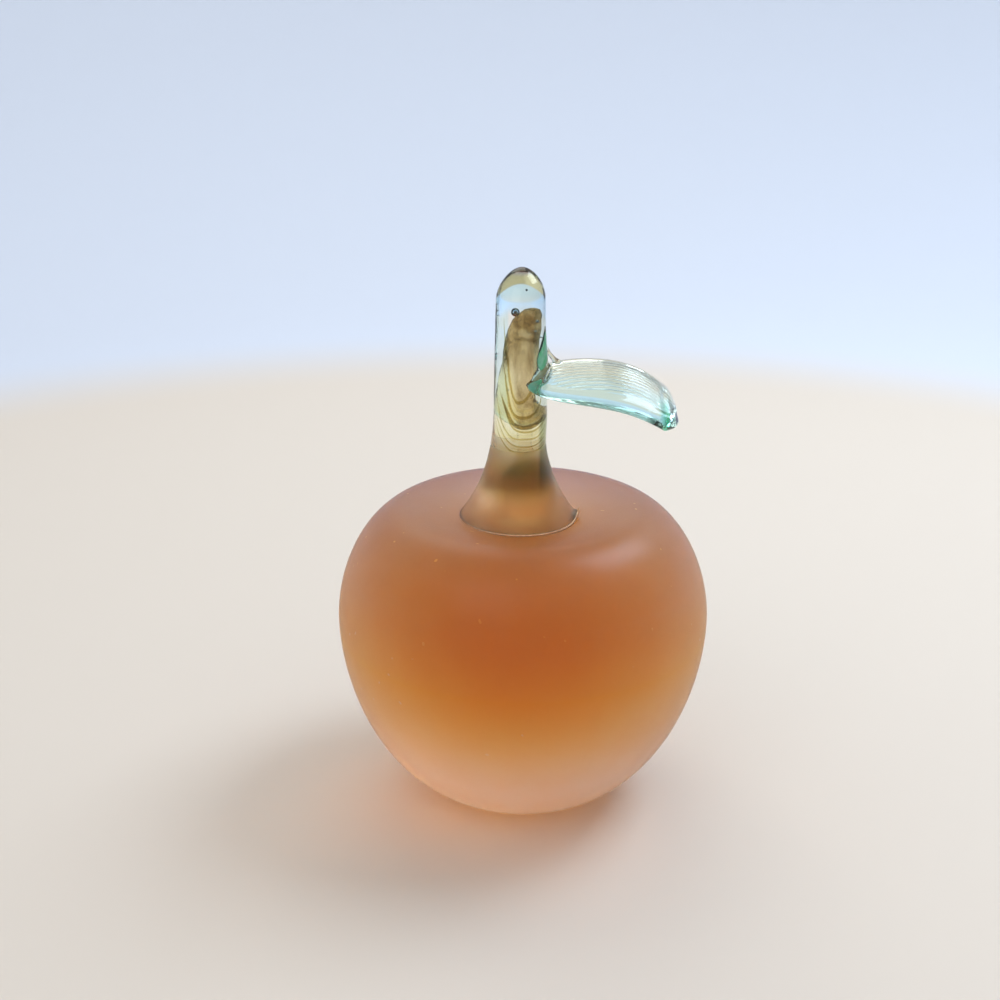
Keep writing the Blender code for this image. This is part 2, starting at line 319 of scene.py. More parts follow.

# %% [markdown]
# ## Bubbles in the stalk
# Air caught in hot glass stays as seeds. A seed is a hole in the glass, so its wall belongs to the
# same mesh and faces into the hole. Only then does light leave the glass and enter it again, which
# gives the bright ring round each seed. Some seeds hold a dark bead, which is painted shade for the
# dark middle of the seed.

# %% Add the seeds
SEEDS = [
    ((-1.85, -3.6, 113.4), 0.90),
    ((0.40, -2.7, 117.9), 0.26),
    ((2.30, -2.4, 111.2), 0.38),
    ((1.90, -2.6, 109.2), 0.28),
    ((2.55, -3.0, 93.6), 0.26),
    ((-2.2, 2.6, 103.0), 0.18),
    ((1.2, 3.6, 106.8), 0.20),
    ((-3.0, -2.9, 96.5), 0.16),
]
# The first seeds hold a dark bead each: painted shade in their middle.
SEEDS_WITH_PAINTED_SHADE = 4
SPECK_SHARE = 0.6
for number, (centre, radius) in enumerate(SEEDS):
    place = Matrix.Translation(Vector(centre) * MM)
    made = bmesh.ops.create_icosphere(stalk_bm, subdivisions=3, radius=radius * MM, matrix=place)
    seed_faces = list(dict.fromkeys(face for vert in made["verts"] for face in vert.link_faces))
    bmesh.ops.reverse_faces(stalk_bm, faces=seed_faces)
    if number < SEEDS_WITH_PAINTED_SHADE:
        shade_bead = bmesh.ops.create_icosphere(stalk_bm, subdivisions=2, matrix=place,
                                           radius=radius * SPECK_SHARE * MM)
        for vert in shade_bead["verts"]:
            for face in vert.link_faces:
                face.material_index = 1
# The dark beads counted here are painted shade.
print(len(SEEDS), "seeds,", SEEDS_WITH_PAINTED_SHADE, "with ash")

# %% [markdown]
# ## A bead along the foot's rim
# Where the stalk's foot was pressed on the fruit, its rim shows a thin bright line, with a spare
# sliver at the right. The line is painted light: a pale orange bead for the fruit's light caught in
# the rim. It is a small circle that spin carries round the foot. It gets the same push out of round
# as the stalk, so it follows the rim.

# %% Lay a bead of painted rim light along the rim of the foot
def carry_circle(bm, thickness, sides, place, angle, steps, closed):
    """Carry a small circle round the Z axis, as a cord."""
    section = bmesh.ops.create_circle(bm, radius=thickness, segments=sides, matrix=place)["verts"]
    rim = list(dict.fromkeys(edge for vert in section for edge in vert.link_edges))
    bmesh.ops.spin(bm, geom=section + rim, cent=(0, 0, 0), axis=(0, 0, 1),
                   angle=angle, steps=steps, use_merge=closed)


BEAD_RADIUS = 0.13 * MM
BEAD_INSET = 0.03 * MM
BEAD_LIFT = 0.12 * MM
SLIVER_CENTRE = Vector((12.2, -1.2, 67.5)) * MM
SLIVER_SHAPE = (0.24, 0.8, 1.35, 1)
SLIVER_LEAN = math.radians(14)

bead_bm = bmesh.new()
bead_start = Matrix.Translation((STALK_FOOT_RADIUS - BEAD_INSET, 0, FOOT_HEIGHT + BEAD_LIFT))
upright = Matrix.Rotation(math.pi / 2, 4, "X")
carry_circle(bead_bm, BEAD_RADIUS, 8, bead_start @ upright, math.tau, STALK_STEPS, True)
pull_out_of_round(bead_bm)
sliver_place = Matrix.Translation(SLIVER_CENTRE) @ Matrix.Rotation(SLIVER_LEAN, 4, "Y")
bmesh.ops.create_icosphere(bead_bm, subdivisions=3, radius=MM,
                           matrix=sliver_place @ Matrix.Diagonal(SLIVER_SHAPE))
tidy_faces(bead_bm)
for face in bead_bm.faces:
    face.material_index = 2
pour_in(stalk_bm, bead_bm)
stalk = make_piece(stalk_bm, "straw_stalk")

# %% [markdown]
# ## The olive thread in the stalk
# The straw glass was gathered over a thread of olive brown glass, which was drawn out with it. It
# hangs crooked in the clear stalk as a long drop, goes on as a thin cord and widens in the foot.
# It is a closed body of its own inside the stalk. Its wall bends light only a little, as glass in
# glass does, so its index of refraction is just above one.
# A noise vector makes it waver. Blender seeds that noise from the clock, so a seed is set here, and
# the thread hangs the same way each time.

# %% Turn the thread
# Each point of the thread: its height, radius and lean to the right, in millimetres.
THREAD = [
    (113.4, 0.0, 1.7), (113.3, 0.8, 1.7), (112.8, 1.4, 1.6), (111.0, 2.1, 0.9),
    (107.0, 2.4, 0.15), (102.0, 2.6, -0.1), (98.0, 2.85, -0.3), (95.0, 2.9, -0.65),
    (92.8, 3.35, -0.55), (91.0, 3.9, -0.05), (89.4, 3.4, 0.3), (88.2, 2.2, 0.5),
    (87.7, 1.2, 0.6), (86.0, 1.1, 0.6), (81.0, 1.2, 0.8), (79.0, 2.0, 1.0),
    (76.5, 3.4, 1.0), (74.0, 3.6, 0.9), (64.6, 3.6, 0.5), (64.4, 3.4, 0.5), (64.4, 0.0, 0.5),
]
THREAD_WAVER = 0.35 * MM
WAVER_SEED = 3
noise.seed_set(WAVER_SEED)


def waver(co, size, depth):
    """A smooth push that differs from place to place."""
    return noise.noise_vector(co / size) * depth


def lean_at(points, height):
    """How far the cord stands to the right at a height."""
    for upper, lower in zip(points, points[1:]):
        if height >= lower[0]:
            share = ease(height, lower[0], max(upper[0], lower[0] + 0.01))
            return lower[2] + (upper[2] - lower[2]) * share
    return points[-1][2]


thread_bm = turn([(radius * MM, height * MM) for height, radius, lean in THREAD], 48)
bmesh.ops.subdivide_edges(thread_bm, edges=thread_bm.edges, cuts=1, smooth=1.0,
                          use_grid_fill=True)
for vert in thread_bm.verts:
    vert.co.x += lean_at(THREAD, vert.co.z / MM) * MM - STALK_LEFT
    vert.co.xy += waver(vert.co, 5 * MM, THREAD_WAVER).xy
tidy_faces(thread_bm)
thread = make_piece(thread_bm, "stalk_thread")

# %% [markdown]
# ## Swags round the drop
# Cords of straw and olive glass hang in loops before the drop, one below the other, as slow syrup
# folds. Each cord is half a ring, which bmesh makes by spinning a small circle. Its two arms are then
# lifted, and drawn out thin towards their ends. A cord's tone, from pale straw to olive, is kept as
# an attribute of its points.

# %% Hang the swags
# Each swag: lowest height, radius, rise of its arms, thickness, tone and lean to the right.
SWAGS = [
    (82.7, 5.00, 5.0, 0.20, 0.75, 0.3), (83.3, 4.95, 5.5, 0.26, 0.05, 0.5),
    (83.9, 4.80, 6.0, 0.18, 0.80, 0.2), (84.6, 4.70, 6.5, 0.30, 0.10, 0.6),
    (85.4, 4.50, 6.5, 0.22, 0.70, 0.3), (86.2, 4.20, 6.0, 0.42, 0.00, 0.1),
    (87.1, 3.90, 6.5, 0.24, 0.80, 0.6), (88.1, 3.30, 4.5, 0.56, 0.95, 0.5),
    (89.2, 3.30, 7.5, 0.30, 0.20, 0.7), (90.2, 3.00, 8.5, 0.34, 0.85, 0.3),
    (91.6, 2.70, 10.5, 0.40, 0.10, 0.5), (93.4, 2.20, 12.0, 0.36, 0.75, -0.2),
]
CORD_SIDES = 12
CORD_STEPS = 48
SWAG_HALF_TURN = math.radians(84)
ARM_SHARPNESS = 2.4
THINNEST = 0.06
LEFT_ARM = 1.5
RIGHT_ARM = 0.55
FLATTENED = 0.92
SWAG_WAVER = 0.30 * MM

swag_bm = bmesh.new()
swag_tone = swag_bm.verts.layers.float.new("swag_tone")
for number, (bottom, radius, rise, thickness, tone, lean) in enumerate(SWAGS):
    before = len(swag_bm.verts)
    start = Matrix.Rotation(-math.pi / 2 - SWAG_HALF_TURN, 4, "Z")
    start = start @ Matrix.Translation((radius * MM, 0, 0)) @ upright
    carry_circle(swag_bm, thickness * MM, CORD_SIDES, start, 2 * SWAG_HALF_TURN, CORD_STEPS, False)
    open_ends = [edge for edge in swag_bm.edges if edge.is_boundary]
    bmesh.ops.holes_fill(swag_bm, edges=open_ends)
    swag_bm.verts.ensure_lookup_table()
    for vert in swag_bm.verts[before:]:
        turned = math.atan2(vert.co.x, -vert.co.y)
        arm = min(abs(turned) / SWAG_HALF_TURN, 1)
        middle = Vector((math.sin(turned), -math.cos(turned), 0)) * radius * MM
        vert[swag_tone] = tone
        vert.co = middle + (vert.co - middle) * max(1 - arm ** 3, THINNEST)
        side = LEFT_ARM if turned < 0 else RIGHT_ARM
        vert.co.z += (bottom + rise * side * arm ** ARM_SHARPNESS) * MM
        vert.co.y *= FLATTENED
        vert.co.x += lean * MM - STALK_LEFT
        vert.co += waver(vert.co + Vector((0, 0, number * MM)), 4 * MM, SWAG_WAVER)
tidy_faces(swag_bm)
swags = make_piece(swag_bm, "stalk_swags")

# %% [markdown]
# ## The leaf
# The leaf is a bit of green glass, pressed on the stalk, pinched flat with ribbed jacks and drawn
# down to a point. It could be sculpted, but here a few measures give its middle surface: how wide
# it is along its length, how it leans, arches and droops. The blade, the ribs and the colours all
# ask the same functions, so they stay in line with each other.

# %% Measure the leaf
LEAF_HEIGHT = 98.2 * MM
LEAF_INNER_END = 1.5 * MM
LEAF_REACH = 32.6 * MM
LEAF_WIDTH = 18.2 * MM
LEAF_ROOT_WIDTH = 4.4 * MM
LEAF_TIP_WIDTH = 3.9 * MM
LEAF_WIDEST_SHARE = 0.73
LEAF_OUTER_FULLNESS = 3.0
LEAF_SWEEP = 0.3 * MM
LEAF_LEAN = math.radians(20)
LEAF_DROOP = 7.2 * MM
LEAF_DROOP_SHARPNESS = 3.9
LEAF_ARCH = 1.8 * MM
LEAF_FORWARD = 3.0 * MM


def leaf_half_width(along):
    """Half the width of the leaf at this share of its length."""
    if along < LEAF_WIDEST_SHARE:
        past = 1 - along / LEAF_WIDEST_SHARE
        end = LEAF_ROOT_WIDTH
        power = 2.0
    else:
        past = (along - LEAF_WIDEST_SHARE) / (1 - LEAF_WIDEST_SHARE)
        end = LEAF_TIP_WIDTH
        power = LEAF_OUTER_FULLNESS
    return (end + (LEAF_WIDTH - end) * max(1 - past ** power, 0) ** (1 / power)) / 2


def leaf_point(along, across):
    """A point of the leaf's middle surface, across from -1 at the near edge to 1 at the far one."""
    half = leaf_half_width(along)
    bend = along ** LEAF_DROOP_SHARPNESS
    side = half * across - LEAF_SWEEP * bend
    rise = LEAF_ARCH * (1 - across ** 2) * half / (LEAF_WIDTH / 2)
    x = LEAF_INNER_END + (LEAF_REACH - LEAF_INNER_END) * along - STALK_LEFT
    y = side * math.cos(LEAF_LEAN) - rise * math.sin(LEAF_LEAN) - LEAF_FORWARD
    z = side * math.sin(LEAF_LEAN) + rise * math.cos(LEAF_LEAN) - LEAF_DROOP * bend + LEAF_HEIGHT
    return Vector((x, y, z))


print("the leaf droops to", round(leaf_point(1, 0).z / MM, 1), "mm above the floor")

# %% [markdown]
# ## The blade of the leaf
# A flat grid is bent to the middle surface, and a second copy gives its underside. Bridging their
# rims closes the blade. It is thin at the far edge, and rolled thick along the near edge and the
# end, where the tool let go and the glass drew itself together.

# %% Bend the blade
def leaf_normal(along, across):
    """The upward direction square to the middle surface."""
    step = 0.01
    low, high = max(along - step, 0), min(along + step, 1)
    lengthwise = leaf_point(high, across) - leaf_point(low, across)
    crosswise = leaf_point(along, across + step) - leaf_point(along, across - step)
    return lengthwise.cross(crosswise).normalized()


def blade_thickness(along, across):
    """Thin at the far edge, rolled thick along the near edge and along the end."""
    crown = math.sqrt(max(1 - across * across, 0))
    rolled = math.exp(-((across + 0.80) / 0.16) ** 2)
    tip_rim = 0.3 * ease(along, 0.82, 0.97)
    tip_rim += 0.6 * math.exp(-((along - 0.955) / 0.03) ** 2)
    return (0.9 + 1.1 * crown + 0.8 * rolled + tip_rim) * MM


TIP_CROWDING = 1.6
EDGE_SHARE = 0.999
leaf_bm = bmesh.new()
bmesh.ops.create_grid(leaf_bm, x_segments=80, y_segments=40, size=1)
upper = list(leaf_bm.verts)
whole_grid = leaf_bm.verts[:] + leaf_bm.edges[:] + leaf_bm.faces[:]
copied = bmesh.ops.duplicate(leaf_bm, geom=whole_grid)
lower = [item for item in copied["geom"] if isinstance(item, bmesh.types.BMVert)]
for verts, side in ((upper, 0.5), (lower, -0.5)):
    for vert in verts:
        along = 1 - ((1 - vert.co.x) / 2) ** TIP_CROWDING
        across = vert.co.y * EDGE_SHARE
        away = leaf_normal(along, across) * blade_thickness(along, across) * side
        vert.co = leaf_point(along, across) + away
rims = [edge for edge in leaf_bm.edges if edge.is_boundary]
bmesh.ops.bridge_loops(leaf_bm, edges=rims)
tidy_faces(leaf_bm)

# %% [markdown]
# ## The root of the leaf
# Hot glass that is pressed on a stalk spreads into a wedge, a web and a drawn tail. Each is a chain
# of flat lumps laid round the stalk, given by azimuth, height and radius. Metaballs would melt them
# too, but a chain says exactly where the glass goes. Two veins of deeper glass lie inside the root,
# and so does a straw-coloured web, which is added later.

# %% Lay the root round the stalk
ROOT_WEDGE = [(-64, 97.5, 1.25), (-54, 97.5, 1.4), (-42, 97.6, 1.5), (-28, 98.2, 1.6), (-12, 99.2, 1.6)]
ROOT_FILM = [(-58, 99.4, 1.1), (-46, 100.2, 1.6), (-34, 100.8, 1.9), (-20, 101.0, 1.9)]
ROOT_TAIL = [(-18, 99.0, 1.7), (-34, 101.0, 1.7), (-37, 103.0, 2.0),
             (-34, 105.0, 1.6), (-28, 107.2, 1.1), (-22, 110.0, 0.5)]
ROOT_WEB = [(-14, 105.4, 0.45), (-6, 103.6, 0.65), (2, 102.0, 0.75), (6, 101.0, 0.8)]
WEB_REACH = [(0.0,), (0.5,), (1.6,), (3.0,)]
VEIN_WEDGE = [(-63, 97.6, 0.95), (-56, 97.6, 1.05), (-49, 97.6, 1.1)]
VEIN_TAIL = [(-43, 101.0, 0.3), (-40, 102.4, 1.2), (-38, 103.4, 1.5),
             (-33, 105.0, 1.0), (-28, 107.0, 0.5), (-24, 109.2, 0.2)]


def along_cord(points, share):
    """Read a chain of number groups at a share of its length."""
    spot = share * (len(points) - 1)
    first = min(int(spot), len(points) - 2)
    part = spot - first
    return [a + (b - a) * part for a, b in zip(points[first], points[first + 1])]


def melt_cord(bm, points, lumps, bulge, lift=0.0, reaches=None):
    """Lay lumps round the stalk: azimuth in degrees, height and radius in millimetres."""
    for lump in range(lumps):
        share = lump / (lumps - 1)
        azimuth, height, radius = along_cord(points, share)
        reach = stalk_radius(height * MM - FOOT_HEIGHT) + lift * radius * MM
        if reaches:
            reach += along_cord(reaches, share)[0] * MM
        swing = Matrix.Rotation(math.radians(azimuth), 4, "Z")
        axis = Matrix.Translation((-STALK_LEFT, 0, height * MM))
        place = axis @ swing @ Matrix.Translation((reach, 0, 0))
        squash = Matrix.Diagonal((bulge, 1, 1, 1))
        bmesh.ops.create_icosphere(bm, subdivisions=3, radius=radius * MM, matrix=place @ squash)


melt_cord(leaf_bm, ROOT_WEDGE, 14, 0.45)
melt_cord(leaf_bm, ROOT_FILM, 16, 0.30)
melt_cord(leaf_bm, ROOT_TAIL, 24, 0.40)
melt_cord(leaf_bm, ROOT_WEB, 16, 0.75, lift=0.10, reaches=WEB_REACH)
vein_bm = bmesh.new()
melt_cord(vein_bm, VEIN_WEDGE, 14, 0.35)
melt_cord(vein_bm, VEIN_TAIL, 24, 0.30)
print("the leaf has", len(leaf_bm.verts), "points before it is fused")

# %% [markdown]
# ## Fuse the root and the blade
# A voxel remesh turns everything that overlaps into one skin, as heat does, and smooth_vert melts
# the small steps that it leaves. The root gets more passes than the blade, because its creases would
# show as dark lines in clear glass.

# %% Fuse and melt smooth
def read_back(rough):
    """Take a rough piece back as a bmesh, with its modifier applied."""
    seen = rough.evaluated_get(bpy.context.evaluated_depsgraph_get())
    mesh = bpy.data.meshes.new_from_object(seen)
    bpy.data.objects.remove(rough)
    result = bmesh.new()
    result.from_mesh(mesh)
    bpy.data.meshes.remove(mesh)
    return result


def fuse(bm, name, voxel):
    """Run a voxel remesh over everything in the bmesh."""
    rough = make_piece(bm, name)
    remesh = rough.modifiers.new("fuse", "REMESH")
    remesh.mode = "VOXEL"
    remesh.voxel_size = voxel
    return read_back(rough)


def soften(bm, repeats, reach=1.0):
    """Melt small bumps away, as far out from the stalk as the reach."""
    soft = [vert for vert in bm.verts if vert.co.x < reach]
    for repeat in range(repeats):
        bmesh.ops.smooth_vert(bm, verts=soft, factor=0.5,
                              use_axis_x=True, use_axis_y=True, use_axis_z=True)


LEAF_VOXEL = 0.20 * MM
INNER_VOXEL = 0.10 * MM
LEAF_PASSES = 6
INNER_PASSES = 4
VEIN_WEB = [(-60, 99.0, 0.5), (-50, 99.4, 0.9), (-38, 100.0, 1.2), (-24, 100.8, 1.3)]

leaf_bm = fuse(leaf_bm, "leaf_rough", LEAF_VOXEL)
for reach in (1.0, 5.0 * MM, 6.0 * MM, 7.0 * MM):
    soften(leaf_bm, LEAF_PASSES, reach)
vein_bm = fuse(vein_bm, "vein_rough", INNER_VOXEL)
soften(vein_bm, INNER_PASSES)
web_bm = bmesh.new()
melt_cord(web_bm, VEIN_WEB, 16, 0.24)
web_bm = fuse(web_bm, "web_rough", INNER_VOXEL)
soften(web_bm, INNER_PASSES)
print("the fused leaf has", len(leaf_bm.verts), "points")

# %% [markdown]
# ## Cut the root to the stalk
# The mould that was kept from the stalk is taken away from the leaf with a Boolean. The veins are
# cut with a slightly fuller mould, so they stay inside the leaf's own skin.

# %% Cut to fit
VEIN_DEPTH = 0.07 * MM


def cut_to_fit(bm, mould_bm):
    """Take the mould's inside away from the piece, and give the rest back as a bmesh."""
    rough = make_piece(bm, "piece_rough")
    mould = make_piece(mould_bm, "mould_rough")
    cut = rough.modifiers.new("cut", "BOOLEAN")
    cut.operation = "DIFFERENCE"
    cut.solver = "EXACT"
    cut.object = mould
    rest = read_back(rough)
    bpy.data.objects.remove(mould)
    return rest


vein_mould = stalk_mould.copy()
vein_mould.normal_update()
for vert in vein_mould.verts:
    vert.co += vert.normal * (SEAM_OVERLAP + VEIN_DEPTH)
web_mould = vein_mould.copy()
vein_bm = cut_to_fit(vein_bm, vein_mould)
web_bm = cut_to_fit(web_bm, web_mould)
leaf_bm = cut_to_fit(leaf_bm, stalk_mould)

# %% [markdown]
# ## Ribs from the jacks
# The jacks that pinched the leaf have ribs, which run along the blade. They are pressed in as a
# shallow wave, and three attributes go with the points for the glass to read: how green the place
# is, where it lies between two ribs, and how hard it was pressed.

# %% Press the ribs into the blade
RIB_PITCH = 1.1 * MM
RIB_HEIGHT = 0.08 * MM
ROOT_GREEN = 0.18
NEAR_LINE_GREEN = 0.26
NEAR_BAND_GREEN = 0.25


def leaf_place(co):
    """The share along and across the leaf of a point near it."""
    along = (co.x + STALK_LEFT - LEAF_INNER_END) / (LEAF_REACH - LEAF_INNER_END)
    inside = min(max(along, 0), 1)
    bend = inside ** LEAF_DROOP_SHARPNESS
    up = co.z - LEAF_HEIGHT + LEAF_DROOP * bend
    side = (co.y + LEAF_FORWARD) * math.cos(LEAF_LEAN) + up * math.sin(LEAF_LEAN)
    return along, (side + LEAF_SWEEP * bend) / leaf_half_width(inside)


leaf_bm.normal_update()
green_depth = leaf_bm.verts.layers.float.new("green_depth")
rib_place = leaf_bm.verts.layers.float.new("rib_place")
rib_press = leaf_bm.verts.layers.float.new("rib_press")
pushes = []
for vert in leaf_bm.verts:
    along, across = leaf_place(vert.co)
    inside = min(max(along, 0), 1)
    from_far_edge = (1 - across) * leaf_half_width(inside)
    ridge = math.sin(math.pi * from_far_edge / RIB_PITCH) ** 2 - 0.5
    pressed = ease(along, 0.12, 0.28) * (1 - ease(along, 0.90, 0.97))
    pressed *= ease(across, -0.62, -0.42) * (1 - ease(across, 0.93, 1.0))
    up = leaf_normal(inside, across)
    facing = vert.normal.dot(up)
    pushes.append((vert, -up * facing * ridge * RIB_HEIGHT * pressed))
    root = 1 - ease(vert.co.x, 3.0 * MM, 4.6 * MM)
    root *= ROOT_GREEN * (1 - ease(vert.co.z, 98.6 * MM, 99.6 * MM))
    near_line = NEAR_LINE_GREEN * math.exp(-((across + 1.0) / 0.06) ** 2)
    near_band = NEAR_BAND_GREEN * (1 - ease(across, -0.45, 0.20))
    tip = ease(along, 0.86, 0.93) * (1 - ease(along, 0.955, 0.985)) * (1 - ease(across, -0.5, 0.1))
    vert[green_depth] = min(max(root, near_line + near_band, tip), 1)
    vert[rib_place] = from_far_edge / RIB_PITCH
    vert[rib_press] = pressed
for vert, push in pushes:
    vert.co += push
tidy_faces(leaf_bm)
for number, inner_bm in enumerate((vein_bm, web_bm)):
    tidy_faces(inner_bm)
    for face in inner_bm.faces:
        face.material_index = number + 1
    pour_in(leaf_bm, inner_bm)
leaf = make_piece(leaf_bm, "green_leaf")

# %% [markdown]
# ## Glass materials
# Three things make glass: how its surface lets light through, what the light loses inside, and
# how rough the surface is. The Principled shader does the first and the last. The loss inside is a
# Volume Absorption node, so thick places come out deeper in colour, as in the real thing.

# %% Helpers for glass
def fill(node, values):
    """Set plain inputs of a node."""
    for name, value in values.items():
        node.inputs[name].default_value = value


def new_finish(piece, name, ior=1.5, roughness=0.0, clear=1.0):
    """Put a new Principled finish with plain values on a piece."""
    material = bpy.data.materials.new(name)
    material.use_nodes = True
    piece.data.materials.append(material)
    shader = material.node_tree.nodes["Principled BSDF"]
    fill(shader, {"Transmission Weight": clear, "IOR": ior, "Roughness": roughness})
    print(name, "lets", clear, "of the light in and bends it by", ior)
    return material.node_tree, shader


def tint_inside(tree, color, density):
    """Let the glass drink light along its path: what is left tends to this colour."""
    volume = tree.nodes.new("ShaderNodeVolumeAbsorption")
    fill(volume, {"Color": (*color, 1), "Density": density})
    tree.links.new(volume.outputs["Volume"], tree.nodes["Material Output"].inputs["Volume"])


# %% [markdown]
# ## Places on the object
# A finish differs from place to place. Object coordinates say where a point lies on the piece, in
# metres from the foot, so a height or a distance can be read off them. Map Range then turns such
# a measure into a share from none to all.

# %% Helpers that read a place
def object_place(tree):
    """The Object coordinates."""
    return tree.nodes.new("ShaderNodeTexCoord").outputs["Object"]


def split_up(tree, vector):
    """The outputs X, Y and Z of a vector."""
    node = tree.nodes.new("ShaderNodeSeparateXYZ")
    tree.links.new(vector, node.inputs[0])
    return node.outputs


def length_of(tree, vector):
    """How long a vector is."""
    node = tree.nodes.new("ShaderNodeVectorMath")
    node.operation = "LENGTH"
    tree.links.new(vector, node.inputs[0])
    return node.outputs["Value"]


def span(tree, value, low, high, at_low=0.0, at_high=1.0, kind="SMOOTHSTEP"):
    """Map a value from one span to another."""
    node = tree.nodes.new("ShaderNodeMapRange")
    node.interpolation_type = kind
    tree.links.new(value, node.inputs["Value"])
    fill(node, {"From Min": low, "From Max": high, "To Min": at_low, "To Max": at_high})
    return node.outputs["Result"]


# %% [markdown]
# ## Patterns and mixes
# Noise gives clouds, streaks and grain. A colour ramp turns a share into a tint, Math nodes join
# shares, and a Mix node lays one tint over another.

# %% Helpers for patterns and mixes
def ramp(tree, value, stops):
    """A colour ramp with the given stops, fed by a value."""
    node = tree.nodes.new("ShaderNodeValToRGB")
    elements = node.color_ramp.elements
    while len(elements) < len(stops):
        elements.new(0.5)
    for element, (position, color) in zip(elements, stops):
        element.position = position
        element.color = (*color, 1)
    tree.links.new(value, node.inputs["Fac"])
    return node.outputs["Color"]


def noise_at(tree, place, scale, detail=2.0, distortion=0.0):
    """A noise pattern on the given coordinates."""
    node = tree.nodes.new("ShaderNodeTexNoise")
    fill(node, {"Scale": scale, "Detail": detail, "Distortion": distortion})
    tree.links.new(place, node.inputs["Vector"])
    return node.outputs["Fac"]


def calc(tree, kind, first, second):
    """One Math node."""
    node = tree.nodes.new("ShaderNodeMath")
    node.operation = kind
    for socket, value in zip(node.inputs, (first, second)):
        if isinstance(value, (int, float)):
            socket.default_value = value
        else:
            tree.links.new(value, socket)
    return node.outputs["Value"]


def times(tree, first, second):
    """The product of two values."""
    return calc(tree, "MULTIPLY", first, second)


def blend_colors(tree, share, first, second, kind="MIX"):
    """Mix two colours, given as values or as sockets."""
    node = tree.nodes.new("ShaderNodeMix")
    node.data_type = "RGBA"
    node.blend_type = kind
    if isinstance(share, float):
        node.inputs["Factor"].default_value = share
    else:
        tree.links.new(share, node.inputs["Factor"])
    sockets = [socket for socket in node.inputs if socket.type == "RGBA"]
    for socket, color in zip(sockets, (first, second)):
        if isinstance(color, tuple):
            socket.default_value = (*color, 1)
        else:
            tree.links.new(color, socket)
    return [socket for socket in node.outputs if socket.type == "RGBA"][0]


def paint(tree, shader, color):
    """Send a colour into the shader's base colour."""
    tree.links.new(color, shader.inputs["Base Color"])


def bump(tree, shader, height, strength, distance):
    """Send a height into the shader's normal."""
    node = tree.nodes.new("ShaderNodeBump")
    fill(node, {"Strength": strength, "Distance": distance})
    tree.links.new(height, node.inputs["Height"])
    tree.links.new(node.outputs["Normal"], shader.inputs["Normal"])


# %% [markdown]
# ## Etched peach glass
# Acid gives the fruit its satin, so it is rough all over, with a fine grain. Only the fused place
# under the stalk was never etched. The skin's tint changes with the height, from clear at the foot
# over amber to mauve on top, and a soft coat gives the sheen. The amber is the glass's own colour,
# but the clear foot is painted light, for light shining through the lower fruit, and the darker
# mauve top is painted shade with a painted sheen of the cool sky. A ramp over the height is simpler
# than painting.

# %% Etched peach glass for the fruit
def reach_from_stalk(tree, place):
    """The level distance from the stalk's axis."""
    level = tree.nodes.new("ShaderNodeVectorMath")
    level.operation = "MULTIPLY_ADD"
    tree.links.new(place, level.inputs[0])
    fill(level, {1: (1.0, 1.0, 0.0), 2: (STALK_LEFT, 0.0, 0.0)})
    return length_of(tree, level.outputs["Vector"])


tree, shader = new_finish(fruit, "etched_peach_glass")
fill(shader, {"Specular Tint": (1.0, 0.72, 0.34, 1), "Coat Weight": 0.36, "Coat Roughness": 0.32})
place = object_place(tree)
height = split_up(tree, place)["Z"]
# Painted light and shade in this ramp: the white stops at the foot paint light through the lower fruit,
# and the dark mauve stops on top paint shade and the sky's sheen.
tints_and_painted_light = ramp(tree, span(tree, height, 0.0, 70 * MM, kind="LINEAR"), [
    (0.08, (1.0, 1.0, 1.0)),
    (0.23, (1.0, 0.96, 0.94)),
    (0.41, (0.93, 0.75, 0.42)),
    (0.59, (0.89, 0.67, 0.18)),
    (0.70, (0.84, 0.65, 0.42)),
    (0.79, (0.77, 0.62, 0.66)),
    (0.90, (0.66, 0.52, 0.64)),
    (1.00, (0.46, 0.37, 0.54)),
])
cloud = span(tree, noise_at(tree, place, 90, 3.0), 0.3, 0.7)
tints_and_painted_light = blend_colors(tree, cloud, tints_and_painted_light, (0.99, 0.93, 0.86), "MULTIPLY")
fleck = span(tree, noise_at(tree, place, 700, 0.0), 0.83, 0.87)
tints_and_painted_light = blend_colors(tree, fleck, tints_and_painted_light, (1.0, 0.92, 0.80))
paint(tree, shader, tints_and_painted_light)
grain = noise_at(tree, place, 2600)
seam = times(tree, span(tree, reach_from_stalk(tree, place), 13.4 * MM, 13.1 * MM),
             span(tree, height, 50 * MM, 52 * MM, 0.0, 0.65))
satin = times(tree, span(tree, grain, 0.3, 0.7, 0.62, 0.72), calc(tree, "SUBTRACT", 1.0, seam))
tree.links.new(satin, shader.inputs["Roughness"])
bump(tree, shader, grain, 0.25, 0.03 * MM)
tint_inside(tree, (0.90, 0.50, 0.14), 13)

# %% [markdown]
# ## Amber glass
# The heart is fused into the fruit, so light goes in without bending: its index of refraction is
# one. The heart was made as four shells, each with its own copy of the glass, so its colour deepens
# towards the middle instead of starting at a hard edge.

# %% Amber glass for the heart
AMBER_TINT = (0.90, 0.69, 0.02)
AMBER_DENSITY = 22
for layer in range(len(LAYER_INSETS)):
    tree, shader = new_finish(heart, "amber_heart_glass_" + str(layer + 1), ior=1.0)
    streaks = span(tree, noise_at(tree, object_place(tree), 60, 3.0), 0.35, 0.65)
    streaks = blend_colors(tree, streaks, (1.0, 0.97, 0.90), (1.0, 1.0, 1.0))
    paint(tree, shader, streaks)
    tint_inside(tree, AMBER_TINT, AMBER_DENSITY)

# %% [markdown]
# ## Straw glass
# The stalk is one glass with two finishes: satin below the frost line and clear above. So one map
# from the height drives the roughness. Its tints are partly its own and partly painted light: a green
# band at its left edge and a dark one low at its right, cool strips beside the thread and below the
# cap that are a painted reflection of the cool wall, a golden brown cap painted lighter on its
# right, and a warm foot painted with the orange light of the fruit under it.

